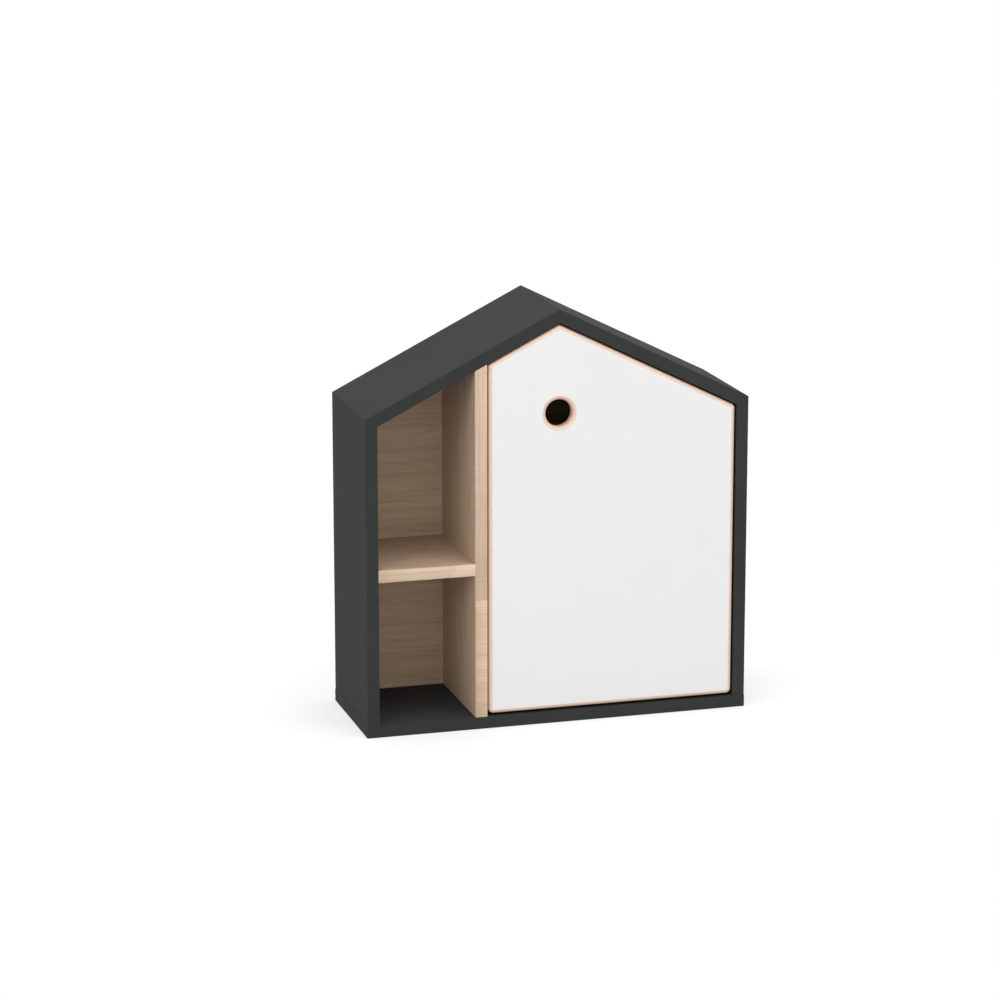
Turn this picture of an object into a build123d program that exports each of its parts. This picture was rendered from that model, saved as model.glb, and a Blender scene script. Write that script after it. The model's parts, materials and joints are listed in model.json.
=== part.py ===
"""House-shaped wall cabinet for a child's room.

A graphite board carcass with a pitched roof, a pale wood divider, shelf and back board,
and one inset white door with rounded wooden edges and a finger hole, on two concealed hinges.

Millimetres. +Z is up, the front faces -Y, and the origin is under the middle of the base.
"""

import math
import os

from build123d import *

# Carcass
WIDTH = 580.0
DEPTH = 200.0
EAVE_HEIGHT = 475.0
RIDGE_HEIGHT = 620.0
CARCASS_BOARD = 18.0
BASE_BOARD = 18.0
BASE_PROUD = 0.6
BACK_BOARD = 18.0

# Divider and shelf
DIVIDER_BOARD = 18.0
DIVIDER_LEFT = -127.0
SHELF_BOARD = 18.0
SHELF_UNDERSIDE = 233.0
EDGING = 2.0
EDGING_SEAM = 196.0

# Door
DOOR_BOARD = 18.0
DOOR_GAP = 2.0
DOOR_BOTTOM_GAP = 3.5
DOOR_ROUND = 6.0
DOOR_CORNER = 8.0
LAMINATE = 0.4
FINGER_HOLE_RADIUS = 20.0
FINGER_HOLE_HEIGHT = 467.0

# Fits
FIXED_FIT = 0.02
RUNNING_FIT = 0.1
END_ROOM = 0.5

# Dowels: long ones in the square joints, short ones in the mitres and on the slopes
DOWEL_RADIUS = 4.0
DOWEL_IN_FACE = 12.0
DOWEL_IN_EDGE = 18.0
MITRE_DOWEL_RADIUS = 3.0
MITRE_DOWEL_LENGTH = 20.0
DOWEL_CHAMFER = 0.8
CARCASS_DOWEL_INSET = 35.0
SHELF_DOWEL_INSET = 45.0
BACK_DOWEL_HEIGHTS = (100.0, 240.0, 380.0)
BACK_SLOPE_STEP = 150.0

# Long screws up through the base
BASE_SCREW_SHANK = 3.25
BASE_SCREW_HEAD = 5.0
BASE_SCREW_LENGTH = 50.0
BASE_SCREW_RECESS = 0.4
BASE_SCREW_INSET = 40.0
BACK_SCREW_STEP = 200.0

# Screw heads
DRIVE_WIDTH = 0.9
DRIVE_DEPTH = 1.1

# Concealed hinge: cup in the door, link, arm and mounting plate on the right side panel
HINGE_HEIGHTS = {"lower": 95.0, "upper": 385.0}
CUP_RADIUS = 17.5
CUP_EDGE_DISTANCE = 4.5
CUP_DEPTH = 11.5
CUP_WALL = 0.7
CUP_FLOOR = 0.8
CUP_FLANGE = 0.8
CUP_RIM = 1.0
CUP_WING_WIDTH = 11.0
CUP_WING_HEIGHT = 58.0
CUP_WING_ROUND = 5.0
CUP_WING_OFFSET = 9.5
CUP_SCREW_SPACING = 45.0
CUP_SCREW_SHANK = 1.7
CUP_SCREW_HEAD = 3.3
CUP_SCREW_LENGTH = 13.0
CUP_PIN_EDGE_DISTANCE = 9.5
CUP_PIN_SINK = 4.5
ARM_PIN_EDGE_DISTANCE = 32.5
ARM_PIN_BEHIND = 3.5
PIN_RADIUS = 1.2
LINK_WIDTH = 3.6
LINK_EYE_RADIUS = 2.8
LINK_SHEET = 1.2
LINK_HALF_GAP = 3.0
LINK_ELBOW_ALONG = 5.0
LINK_ELBOW_ASIDE = 5.5
LINK_WEB = 1.4
ARM_THICKNESS = 6.0
ARM_CLEARANCE = 0.3
ARM_NECK = 7.5
ARM_CRANK = 13.0
ARM_REAR_LENGTH = 38.0
ARM_REAR_HALF_HEIGHT = 7.5
ARM_EDGE_DISTANCE = 10.5
ARM_SCREW_SHANK = 2.0
ARM_SCREW_HEAD = 3.2
ARM_SCREW_HEAD_HEIGHT = 2.0
ARM_SCREW_DEPTH = 5.0
ARM_SCREW_SPACING = 14.0
PLATE_BLOCK_LENGTH = 30.0
PLATE_BLOCK_HALF_HEIGHT = 6.0
PLATE_WING = 3.0
PLATE_WING_LENGTH = 12.0
PLATE_WING_HALF_HEIGHT = 21.0
PLATE_SCREW_HALF_SPACING = 16.0
PLATE_SCREW_SHANK = 1.9
PLATE_SCREW_HEAD = 3.4
PLATE_SCREW_LENGTH = 15.0

# Door stops on the divider, each with a magnet that holds a steel disc on the door
STOP_HEIGHTS = {"lower": 110.0, "upper": 430.0}
STOP_WIDTH = 24.0
STOP_DEPTH = 22.0
STOP_HALF_HEIGHT = 30.0
STOP_CHAMFER = 1.5
STOP_AIR = 0.3
STOP_SCREW_SHANK = 2.0
STOP_SCREW_HEAD = 4.0
STOP_SCREW_LENGTH = 34.0
STOP_SCREW_HALF_SPACING = 18.0
MAGNET_RADIUS = 5.0
MAGNET_LENGTH = 5.0
DISC_RADIUS = 7.0
DISC_THICKNESS = 1.2
DISC_FROM_DOOR_EDGE = 15.0
DISC_SCREW_SHANK = 1.5
DISC_SCREW_HEAD = 2.6
DISC_SCREW_LENGTH = 12.0

# Keyhole hangers let into the back board, and two safety screw holes low down behind the door
HANGER_INSET = 98.0
HANGER_HEIGHT = 400.0
HANGER_WIDTH = 18.0
HANGER_LENGTH = 50.0
HANGER_PLATE = 2.0
HANGER_SCREW_HALF_SPACING = 20.0
HANGER_SCREW_SHANK = 1.7
HANGER_SCREW_HEAD = 3.3
HANGER_SCREW_LENGTH = 12.0
KEYHOLE_ENTRY_RADIUS = 5.0
KEYHOLE_SLOT_RADIUS = 2.5
KEYHOLE_TRAVEL = 12.0
KEYHOLE_POCKET_DEPTH = 8.0
KEYHOLE_POCKET_WIDTH = 15.0
KEYHOLE_POCKET_LENGTH = 30.0
SAFETY_HOLE_RADIUS = 2.75
SAFETY_HOLE_HEIGHT = 60.0
SAFETY_HOLE_LEFT = -64.0
SAFETY_HOLE_SPACING = 288.0

# Places worked out from the sizes above
FRONT = -DEPTH / 2
REAR = DEPTH / 2
SLOPE = math.atan2(RIDGE_HEIGHT - EAVE_HEIGHT, WIDTH / 2)
RISE = math.tan(SLOPE)
INNER_HALF = WIDTH / 2 - CARCASS_BOARD
INNER_RIDGE = RIDGE_HEIGHT - CARCASS_BOARD / math.cos(SLOPE)
INNER_EAVE = INNER_RIDGE - INNER_HALF * RISE
BACK_FRONT = REAR - BACK_BOARD
BACK_MIDDLE = REAR - BACK_BOARD / 2
HANGER_X = WIDTH / 2 - HANGER_INSET
DIVIDER_RIGHT = DIVIDER_LEFT + DIVIDER_BOARD
DIVIDER_MIDDLE = DIVIDER_LEFT + DIVIDER_BOARD / 2
SHELF_TOP = SHELF_UNDERSIDE + SHELF_BOARD
DOOR_LEFT = DIVIDER_RIGHT + DOOR_GAP
DOOR_RIGHT = INNER_HALF - DOOR_GAP
DOOR_BOTTOM = BASE_BOARD + DOOR_BOTTOM_GAP
DOOR_REAR = FRONT + DOOR_BOARD
DISC_X = DOOR_LEFT + DISC_FROM_DOOR_EDGE
CUP_X = DOOR_RIGHT - CUP_EDGE_DISTANCE - CUP_RADIUS
CUP_INNER_RADIUS = CUP_RADIUS - CUP_WALL
CUP_PIN = (DOOR_RIGHT - CUP_PIN_EDGE_DISTANCE, DOOR_REAR - CUP_PIN_SINK)
ARM_PIN = (DOOR_RIGHT - ARM_PIN_EDGE_DISTANCE, DOOR_REAR + ARM_PIN_BEHIND)
ARM_BEND = (ARM_PIN[0], ARM_PIN[1] + ARM_NECK)
ARM_START = (DOOR_RIGHT - ARM_EDGE_DISTANCE, ARM_BEND[1] + ARM_CRANK)
ARM_END = (ARM_START[0], ARM_START[1] + ARM_REAR_LENGTH)
ARM_LEFT_FACE = ARM_START[0] - ARM_THICKNESS / 2
ARM_RIGHT_FACE = ARM_START[0] + ARM_THICKNESS / 2
PLATE_MIDDLE = (ARM_START[1] + ARM_END[1]) / 2

# Which side of a cylinder or cone stays at the place it is set on
DOWN = (Align.CENTER, Align.CENTER, Align.MAX)


def ceiling(x, clearance=0.0):
    """Height of the roof's underside at x, less a clearance square to the slope."""
    return INNER_RIDGE - abs(x) * RISE - clearance / math.cos(SLOPE)


def front_view(y):
    """The front view at depth y, x across and z up. Extrusions from it run forwards."""
    return Plane.XZ.offset(-y)


def board_face(points, y):
    """The front view of a board at depth y, a closed outline of points."""
    with BuildSketch(front_view(y)) as face:
        with BuildLine():
            Polyline(*points, close=True)
        make_face()
    return face.sketch


def rounded_bars(points, width, height):
    """The plan of a bent bar with round ends, at a height."""
    with BuildSketch(Plane.XY.offset(height)) as plan:
        for (x0, y0), (x1, y1) in zip(points, points[1:]):
            with Locations(((x0 + x1) / 2, (y0 + y1) / 2)):
                SlotCenterToCenter(
                    math.hypot(x1 - x0, y1 - y0),
                    width,
                    rotation=math.degrees(math.atan2(y1 - y0, x1 - x0)),
                )
    return plan.sketch


def dowels(places, radius, length):
    """Chamfered dowels, each centred on its place and lying along the place's normal."""
    with BuildPart() as pegs:
        with Locations(*places):
            Cylinder(radius, length)
        chamfer(pegs.edges().filter_by(GeomType.CIRCLE), DOWEL_CHAMFER)
    return pegs


def screws(places, shank, head, length):
    """Countersunk cross-drive screws, heads at their places, driven against the normals."""
    with BuildPart() as fasteners:
        with Locations(*places):
            Cylinder(shank, length, align=DOWN)
            Cone(shank, head, head - shank, align=DOWN)
            Box(head, DRIVE_WIDTH, DRIVE_DEPTH, align=DOWN, mode=Mode.SUBTRACT)
            Box(DRIVE_WIDTH, head, DRIVE_DEPTH, align=DOWN, mode=Mode.SUBTRACT)
    return fasteners


def screw_holes(places, shank, head, length):
    """The holes for screws of the same sizes, taken out of the part being built."""
    with Locations(*places):
        CounterSinkHole(
            shank + FIXED_FIT,
            head + FIXED_FIT,
            depth=length + END_ROOM,
            counter_sink_angle=90,
        )


def dowel_holes(places, radius, length):
    """The holes for dowels of the same sizes, taken out of the part being built."""
    with Locations(*places):
        Cylinder(radius + FIXED_FIT, length + 2 * END_ROOM, mode=Mode.SUBTRACT)


def facing(x, y, z, direction):
    """A place at a point, with its normal along a direction."""
    return Plane(origin=(x, y, z), z_dir=direction)


# Places of the dowels and screws in the carcass
depth_pair = (FRONT + CARCASS_DOWEL_INSET, BACK_FRONT - CARCASS_DOWEL_INSET)
ridge_dowel_height = (INNER_RIDGE + RIDGE_HEIGHT - RISE * MITRE_DOWEL_LENGTH / 2) / 2
ridge_dowel_places = [facing(0, y, ridge_dowel_height, (1, 0, 0)) for y in depth_pair]
eave_dowel_places = {
    side: [
        facing(
            side * (WIDTH / 2 + INNER_HALF) / 2,
            y,
            (EAVE_HEIGHT + INNER_EAVE) / 2,
            (-side * (EAVE_HEIGHT - INNER_EAVE), 0, CARCASS_BOARD),
        )
        for y in depth_pair
    ]
    for side in (-1, 1)
}
dowel_length = DOWEL_IN_FACE + DOWEL_IN_EDGE
dowel_shift = (DOWEL_IN_EDGE - DOWEL_IN_FACE) / 2
back_side_dowel_places = {
    side: [
        facing(side * (INNER_HALF - dowel_shift), BACK_MIDDLE, z, (1, 0, 0))
        for z in BACK_DOWEL_HEIGHTS
    ]
    for side in (-1, 1)
}
back_roof_dowel_places = {
    side: [
        facing(
            side * BACK_SLOPE_STEP,
            BACK_MIDDLE,
            ceiling(BACK_SLOPE_STEP),
            (side * math.sin(SLOPE), 0, math.cos(SLOPE)),
        )
    ]
    for side in (-1, 1)
}
shelf_depths = (FRONT + SHELF_DOWEL_INSET, BACK_FRONT - SHELF_DOWEL_INSET)
shelf_middle = SHELF_UNDERSIDE + SHELF_BOARD / 2
shelf_left_dowel_places = [
    facing(-INNER_HALF + dowel_shift, y, shelf_middle, (1, 0, 0)) for y in shelf_depths
]
shelf_right_dowel_places = [
    facing(DIVIDER_LEFT - dowel_shift, y, shelf_middle, (1, 0, 0)) for y in shelf_depths
]
divider_dowel_places = [
    facing(
        DIVIDER_MIDDLE,
        y,
        ceiling(DIVIDER_MIDDLE),
        (math.copysign(math.sin(SLOPE), DIVIDER_MIDDLE), 0, math.cos(SLOPE)),
    )
    for y in shelf_depths
]
base_screw_depths = (FRONT + BASE_SCREW_INSET, BACK_FRONT - BASE_SCREW_INSET)
base_screw_spots = {
    "left": [(-WIDTH / 2 + CARCASS_BOARD / 2, y) for y in base_screw_depths],
    "right": [(WIDTH / 2 - CARCASS_BOARD / 2, y) for y in base_screw_depths],
    "divider": [(DIVIDER_MIDDLE, y) for y in base_screw_depths],
    "back": [(step * BACK_SCREW_STEP, BACK_MIDDLE) for step in (-1, 0, 1)],
}
base_screw_places = {
    name: [facing(x, y, BASE_SCREW_RECESS, (0, 0, -1)) for x, y in spots]
    for name, spots in base_screw_spots.items()
}
BASE_SCREW = (BASE_SCREW_SHANK, BASE_SCREW_HEAD, BASE_SCREW_LENGTH)
MITRE_DOWEL = (MITRE_DOWEL_RADIUS, MITRE_DOWEL_LENGTH)
LONG_DOWEL = (DOWEL_RADIUS, dowel_length)

# Places of the fasteners of the hinges, the door stops and the hangers
CUP_SCREW = (CUP_SCREW_SHANK, CUP_SCREW_HEAD, CUP_SCREW_LENGTH)
cup_screw_places = [
    facing(CUP_X - CUP_WING_OFFSET, DOOR_REAR + CUP_FLANGE, z + dz, (0, 1, 0))
    for z in HINGE_HEIGHTS.values()
    for dz in (-CUP_SCREW_SPACING / 2, CUP_SCREW_SPACING / 2)
]
PLATE_SCREW = (PLATE_SCREW_SHANK, PLATE_SCREW_HEAD, PLATE_SCREW_LENGTH)
plate_screw_places = [
    facing(INNER_HALF - PLATE_WING, PLATE_MIDDLE, z + dz, (-1, 0, 0))
    for z in HINGE_HEIGHTS.values()
    for dz in (-PLATE_SCREW_HALF_SPACING, PLATE_SCREW_HALF_SPACING)
]
arm_screw_places = [
    facing(ARM_LEFT_FACE, PLATE_MIDDLE + dy, z, (-1, 0, 0))
    for z in HINGE_HEIGHTS.values()
    for dy in (-ARM_SCREW_SPACING / 2, ARM_SCREW_SPACING / 2)
]
STOP_FRONT = DOOR_REAR + DISC_THICKNESS + STOP_AIR
STOP_SCREW = (STOP_SCREW_SHANK, STOP_SCREW_HEAD, STOP_SCREW_LENGTH)
stop_screw_places = [
    facing(DIVIDER_RIGHT + STOP_WIDTH, STOP_FRONT + STOP_DEPTH / 2, z + dz, (1, 0, 0))
    for z in STOP_HEIGHTS.values()
    for dz in (-STOP_SCREW_HALF_SPACING, STOP_SCREW_HALF_SPACING)
]
magnet_places = [facing(DISC_X, STOP_FRONT, z, (0, -1, 0)) for z in STOP_HEIGHTS.values()]
DISC_SCREW = (DISC_SCREW_SHANK, DISC_SCREW_HEAD, DISC_SCREW_LENGTH)
disc_places = [
    facing(DISC_X, DOOR_REAR + DISC_THICKNESS, z, (0, 1, 0)) for z in STOP_HEIGHTS.values()
]
HANGER_SCREW = (HANGER_SCREW_SHANK, HANGER_SCREW_HEAD, HANGER_SCREW_LENGTH)
hanger_screw_places = {
    side: [
        facing(side * HANGER_X, REAR, HANGER_HEIGHT + dz, (0, 1, 0))
        for dz in (-HANGER_SCREW_HALF_SPACING, HANGER_SCREW_HALF_SPACING)
    ]
    for side in (-1, 1)
}
safety_holes = [
    (SAFETY_HOLE_LEFT + step * SAFETY_HOLE_SPACING, SAFETY_HOLE_HEIGHT) for step in (0, 1)
]

nodes = {}

# Base: runs under the side panels and stands a little proud of them
with BuildPart() as base_panel:
    with BuildSketch(front_view(REAR)):
        Rectangle(WIDTH + 2 * BASE_PROUD, BASE_BOARD, align=(Align.CENTER, Align.MIN))
    extrude(amount=DEPTH)
    for places in base_screw_places.values():
        screw_holes(places, *BASE_SCREW)
nodes["base_panel"] = base_panel

# Side panels: mitred to the roof at the eaves
for name, side in (("left", -1), ("right", 1)):
    outline = [
        (side * INNER_HALF, BASE_BOARD),
        (side * WIDTH / 2, BASE_BOARD),
        (side * WIDTH / 2, EAVE_HEIGHT),
        (side * INNER_HALF, INNER_EAVE),
    ]
    with BuildPart() as side_panel:
        extrude(board_face(outline, REAR), amount=DEPTH)
        screw_holes(base_screw_places[name], *BASE_SCREW)
        dowel_holes(eave_dowel_places[side], *MITRE_DOWEL)
        dowel_holes(back_side_dowel_places[side], *LONG_DOWEL)
        if side < 0:
            dowel_holes(shelf_left_dowel_places, *LONG_DOWEL)
        else:
            screw_holes(plate_screw_places, *PLATE_SCREW)
    nodes[f"{name}_side_panel"] = side_panel

# Roof panels: mitred to each other at the ridge
for name, side in (("left", -1), ("right", 1)):
    outline = [
        (side * WIDTH / 2, EAVE_HEIGHT),
        (0, RIDGE_HEIGHT),
        (0, INNER_RIDGE),
        (side * INNER_HALF, INNER_EAVE),
    ]
    with BuildPart() as roof_panel:
        extrude(board_face(outline, REAR), amount=DEPTH)
        dowel_holes(ridge_dowel_places, *MITRE_DOWEL)
        dowel_holes(eave_dowel_places[side], *MITRE_DOWEL)
        dowel_holes(back_roof_dowel_places[side], *MITRE_DOWEL)
        if side < 0:
            dowel_holes(divider_dowel_places, *MITRE_DOWEL)
    nodes[f"{name}_roof_panel"] = roof_panel

# Back board: fills the house outline between the panels, flush with their rear edges
back_outline = [
    (-INNER_HALF, BASE_BOARD),
    (INNER_HALF, BASE_BOARD),
    (INNER_HALF, INNER_EAVE),
    (0, INNER_RIDGE),
    (-INNER_HALF, INNER_EAVE),
]
with BuildPart() as back_panel:
    extrude(board_face(back_outline, REAR), amount=BACK_BOARD)
    screw_holes(base_screw_places["back"], *BASE_SCREW)
    for side in (-1, 1):
        dowel_holes(back_side_dowel_places[side], *LONG_DOWEL)
        dowel_holes(back_roof_dowel_places[side], *MITRE_DOWEL)
        screw_holes(hanger_screw_places[side], *HANGER_SCREW)
        with BuildSketch(front_view(REAR)):
            with Locations((side * HANGER_X, HANGER_HEIGHT)):
                SlotOverall(HANGER_LENGTH + 2 * FIXED_FIT, HANGER_WIDTH + 2 * FIXED_FIT, 90)
        extrude(amount=HANGER_PLATE, mode=Mode.SUBTRACT)
        with BuildSketch(front_view(REAR - HANGER_PLATE)):
            with Locations((side * HANGER_X, HANGER_HEIGHT)):
                SlotOverall(KEYHOLE_POCKET_LENGTH, KEYHOLE_POCKET_WIDTH, 90)
        extrude(amount=KEYHOLE_POCKET_DEPTH, mode=Mode.SUBTRACT)
    with BuildSketch(front_view(REAR)):
        with Locations(*safety_holes):
            Circle(SAFETY_HOLE_RADIUS)
    extrude(amount=BACK_BOARD, mode=Mode.SUBTRACT)
nodes["back_panel"] = back_panel

# Divider: stands on the base and meets the left slope, with a glued edging in two lengths
inner_depth = BACK_FRONT - FRONT - EDGING
divider_outline = [
    (DIVIDER_LEFT, BASE_BOARD),
    (DIVIDER_RIGHT, BASE_BOARD),
    (DIVIDER_RIGHT, ceiling(DIVIDER_RIGHT)),
    (DIVIDER_LEFT, ceiling(DIVIDER_LEFT)),
]
with BuildPart() as divider_panel:
    extrude(board_face(divider_outline, BACK_FRONT), amount=inner_depth)
    screw_holes(base_screw_places["divider"], *BASE_SCREW)
    dowel_holes(shelf_right_dowel_places, *LONG_DOWEL)
    dowel_holes(divider_dowel_places, *MITRE_DOWEL)
    screw_holes(stop_screw_places, *STOP_SCREW)
nodes["divider_panel"] = divider_panel

edging_outlines = {
    "lower": divider_outline[:2] + [(DIVIDER_RIGHT, EDGING_SEAM), (DIVIDER_LEFT, EDGING_SEAM)],
    "upper": [(DIVIDER_LEFT, EDGING_SEAM), (DIVIDER_RIGHT, EDGING_SEAM)] + divider_outline[2:],
}
for name, outline in edging_outlines.items():
    with BuildPart() as divider_edging:
        extrude(board_face(outline, FRONT + EDGING), amount=EDGING)
    nodes[f"divider_{name}_edging"] = divider_edging

# Shelf: between the left side panel and the divider, flush with the front
shelf_outline = [
    (-INNER_HALF, SHELF_UNDERSIDE),
    (DIVIDER_LEFT, SHELF_UNDERSIDE),
    (DIVIDER_LEFT, SHELF_TOP),
    (-INNER_HALF, SHELF_TOP),
]
with BuildPart() as shelf_panel:
    extrude(board_face(shelf_outline, BACK_FRONT), amount=inner_depth)
    dowel_holes(shelf_left_dowel_places, *LONG_DOWEL)
    dowel_holes(shelf_right_dowel_places, *LONG_DOWEL)
nodes["shelf_panel"] = shelf_panel

with BuildPart() as shelf_edging:
    extrude(board_face(shelf_outline, FRONT + EDGING), amount=EDGING)
nodes["shelf_edging"] = shelf_edging

# Dowels and base screws
nodes["ridge_dowels"] = dowels(ridge_dowel_places, *MITRE_DOWEL)
nodes["eave_dowels"] = dowels(eave_dowel_places[-1] + eave_dowel_places[1], *MITRE_DOWEL)
nodes["back_side_dowels"] = dowels(
    back_side_dowel_places[-1] + back_side_dowel_places[1], *LONG_DOWEL
)
nodes["back_roof_dowels"] = dowels(
    back_roof_dowel_places[-1] + back_roof_dowel_places[1], *MITRE_DOWEL
)
nodes["shelf_dowels"] = dowels(
    shelf_left_dowel_places + shelf_right_dowel_places, *LONG_DOWEL
)
nodes["divider_dowels"] = dowels(divider_dowel_places, *MITRE_DOWEL)
nodes["base_screws"] = screws(
    [place for places in base_screw_places.values() for place in places], *BASE_SCREW
)

# Door: one board with a routed edge all round and round its finger hole
door_outline = [
    (DOOR_LEFT, DOOR_BOTTOM),
    (DOOR_RIGHT, DOOR_BOTTOM),
    (DOOR_RIGHT, ceiling(DOOR_RIGHT, DOOR_GAP)),
    (0, ceiling(0, DOOR_GAP)),
    (DOOR_LEFT, ceiling(DOOR_LEFT, DOOR_GAP)),
]


def door_face(y, inset):
    """The door's outline at depth y, drawn in by an inset that also widens the hole."""
    with BuildSketch(front_view(y)) as face:
        with BuildLine():
            FilletPolyline(*door_outline, radius=DOOR_CORNER, close=True)
        make_face()
        if inset > 0:
            offset(amount=-inset, kind=Kind.INTERSECTION)
        with Locations((0, FINGER_HOLE_HEIGHT)):
            Circle(FINGER_HOLE_RADIUS + inset, mode=Mode.SUBTRACT)
    return face.sketch


front_skin = door_face(FRONT + LAMINATE, DOOR_ROUND)
back_skin = door_face(DOOR_REAR, DOOR_ROUND)
cup_places = {
    name: facing(CUP_X, DOOR_REAR, z, (0, 1, 0)) for name, z in HINGE_HEIGHTS.items()
}

with BuildPart() as door_board:
    extrude(door_face(DOOR_REAR, 0), amount=DOOR_BOARD)
    door_faces = door_board.faces().filter_by(Axis.Y).sort_by(Axis.Y)
    fillet(door_faces[0].edges() + door_faces[-1].edges(), DOOR_ROUND)
    extrude(front_skin, amount=LAMINATE, mode=Mode.SUBTRACT)
    extrude(back_skin, amount=LAMINATE, mode=Mode.SUBTRACT)
    with Locations(*cup_places.values()):
        Cylinder(CUP_RADIUS, CUP_DEPTH + END_ROOM, align=DOWN, mode=Mode.SUBTRACT)
    screw_holes(cup_screw_places, *CUP_SCREW)
    screw_holes(disc_places, *DISC_SCREW)
nodes["door_board"] = door_board

with BuildPart() as door_front_laminate:
    extrude(front_skin, amount=LAMINATE)
nodes["door_front_laminate"] = door_front_laminate

with BuildPart() as door_back_laminate:
    extrude(back_skin, amount=LAMINATE)
    with Locations(*cup_places.values()):
        Cylinder(CUP_RADIUS, CUP_DEPTH, align=DOWN, mode=Mode.SUBTRACT)
    screw_holes(cup_screw_places, *CUP_SCREW)
    screw_holes(disc_places, *DISC_SCREW)
nodes["door_back_laminate"] = door_back_laminate

# Hinge cups: a pressed cup with a thin flange that two screws hold on the door's rear face
for name, z in HINGE_HEIGHTS.items():
    with BuildPart() as hinge_cup:
        with Locations(cup_places[name]):
            Cylinder(CUP_RADIUS - FIXED_FIT, CUP_DEPTH, align=DOWN)
        with BuildSketch(front_view(DOOR_REAR + CUP_FLANGE)):
            with Locations((CUP_X, z)):
                Circle(CUP_RADIUS + CUP_RIM)
            with Locations((CUP_X + CUP_RADIUS, z)):
                Rectangle(
                    2 * CUP_RADIUS,
                    2 * (CUP_RADIUS + CUP_RIM),
                    align=(Align.MIN, Align.CENTER),
                    mode=Mode.SUBTRACT,
                )
            with Locations((CUP_X - CUP_WING_OFFSET, z)):
                RectangleRounded(CUP_WING_WIDTH, CUP_WING_HEIGHT, CUP_WING_ROUND)
        extrude(amount=CUP_FLANGE)
        with Locations(facing(CUP_X, DOOR_REAR + CUP_FLANGE, z, (0, 1, 0))):
            Cylinder(
                CUP_INNER_RADIUS,
                CUP_DEPTH + CUP_FLANGE - CUP_FLOOR,
                align=DOWN,
                mode=Mode.SUBTRACT,
            )
        screw_holes(cup_screw_places, *CUP_SCREW)
    nodes[f"{name}_hinge_cup"] = hinge_cup

# Hinge links: a bent U of sheet that turns on a pin in the arm and a pin in the cup
link_run = Vector(ARM_PIN) - Vector(CUP_PIN)
link_along = link_run.normalized()
link_aside = Vector(-link_along.Y, link_along.X)
elbow = Vector(CUP_PIN) + link_along * LINK_ELBOW_ALONG + link_aside * LINK_ELBOW_ASIDE
elbow_to_arm = Vector(ARM_PIN) - elbow
web_start = elbow + elbow_to_arm * 0.15
web_end = elbow + elbow_to_arm * 0.5
link_path = [CUP_PIN, (elbow.X, elbow.Y), ARM_PIN]
web_path = [(web_start.X, web_start.Y), (web_end.X, web_end.Y)]
link_half_height = LINK_HALF_GAP + LINK_SHEET

for name, z in HINGE_HEIGHTS.items():
    with BuildPart() as hinge_link:
        for bottom in (z - link_half_height, z + LINK_HALF_GAP):
            extrude(rounded_bars(link_path, LINK_WIDTH, bottom), amount=LINK_SHEET)
            with BuildSketch(Plane.XY.offset(bottom)):
                with Locations(CUP_PIN, ARM_PIN):
                    Circle(LINK_EYE_RADIUS)
            extrude(amount=LINK_SHEET)
        extrude(
            rounded_bars(web_path, LINK_WEB, z - LINK_HALF_GAP), amount=2 * LINK_HALF_GAP
        )
        with Locations((*CUP_PIN, z), (*ARM_PIN, z)):
            Cylinder(PIN_RADIUS + RUNNING_FIT, 2 * link_half_height, mode=Mode.SUBTRACT)
    nodes[f"{name}_hinge_link"] = hinge_link

# Hinge arms: cranked towards the cup, flat on the mounting plate at the back
arm_half_height = LINK_HALF_GAP - ARM_CLEARANCE
arm_path = [ARM_PIN, ARM_BEND, ARM_START, ARM_END]
arm_middle_length = ARM_END[1] - ARM_START[1]

for name, z in HINGE_HEIGHTS.items():
    with BuildPart() as hinge_arm:
        extrude(
            rounded_bars(arm_path, ARM_THICKNESS, z - arm_half_height),
            amount=2 * arm_half_height,
        )
        with Locations((ARM_START[0], PLATE_MIDDLE, z)):
            Box(ARM_THICKNESS, arm_middle_length, 2 * ARM_REAR_HALF_HEIGHT)
        with Locations((*ARM_PIN, z)):
            Cylinder(PIN_RADIUS + FIXED_FIT, 2 * arm_half_height, mode=Mode.SUBTRACT)
        with Locations(*arm_screw_places):
            Cylinder(
                ARM_SCREW_SHANK + RUNNING_FIT,
                ARM_THICKNESS,
                align=DOWN,
                mode=Mode.SUBTRACT,
            )
    nodes[f"{name}_hinge_arm"] = hinge_arm

with BuildPart() as arm_pins:
    with Locations(*[(*ARM_PIN, z) for z in HINGE_HEIGHTS.values()]):
        Cylinder(PIN_RADIUS, 2 * link_half_height)
nodes["arm_pins"] = arm_pins

cup_pin_offset = CUP_PIN[0] - CUP_X
cup_pin_half_length = math.sqrt(CUP_INNER_RADIUS**2 - (cup_pin_offset + PIN_RADIUS) ** 2)
with BuildPart() as cup_pins:
    with Locations(*[(*CUP_PIN, z) for z in HINGE_HEIGHTS.values()]):
        Cylinder(PIN_RADIUS, 2 * (cup_pin_half_length - FIXED_FIT))
nodes["cup_pins"] = cup_pins

with BuildPart() as arm_screws:
    with Locations(*arm_screw_places):
        Cylinder(ARM_SCREW_SHANK, ARM_THICKNESS + ARM_SCREW_DEPTH, align=DOWN)
        Cylinder(
            ARM_SCREW_HEAD,
            ARM_SCREW_HEAD_HEIGHT,
            align=(Align.CENTER, Align.CENTER, Align.MIN),
        )
    with Locations(*[place.offset(ARM_SCREW_HEAD_HEIGHT) for place in arm_screw_places]):
        Box(2 * ARM_SCREW_SHANK, DRIVE_WIDTH, DRIVE_DEPTH, align=DOWN, mode=Mode.SUBTRACT)
        Box(DRIVE_WIDTH, 2 * ARM_SCREW_SHANK, DRIVE_DEPTH, align=DOWN, mode=Mode.SUBTRACT)
nodes["arm_screws"] = arm_screws

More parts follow.
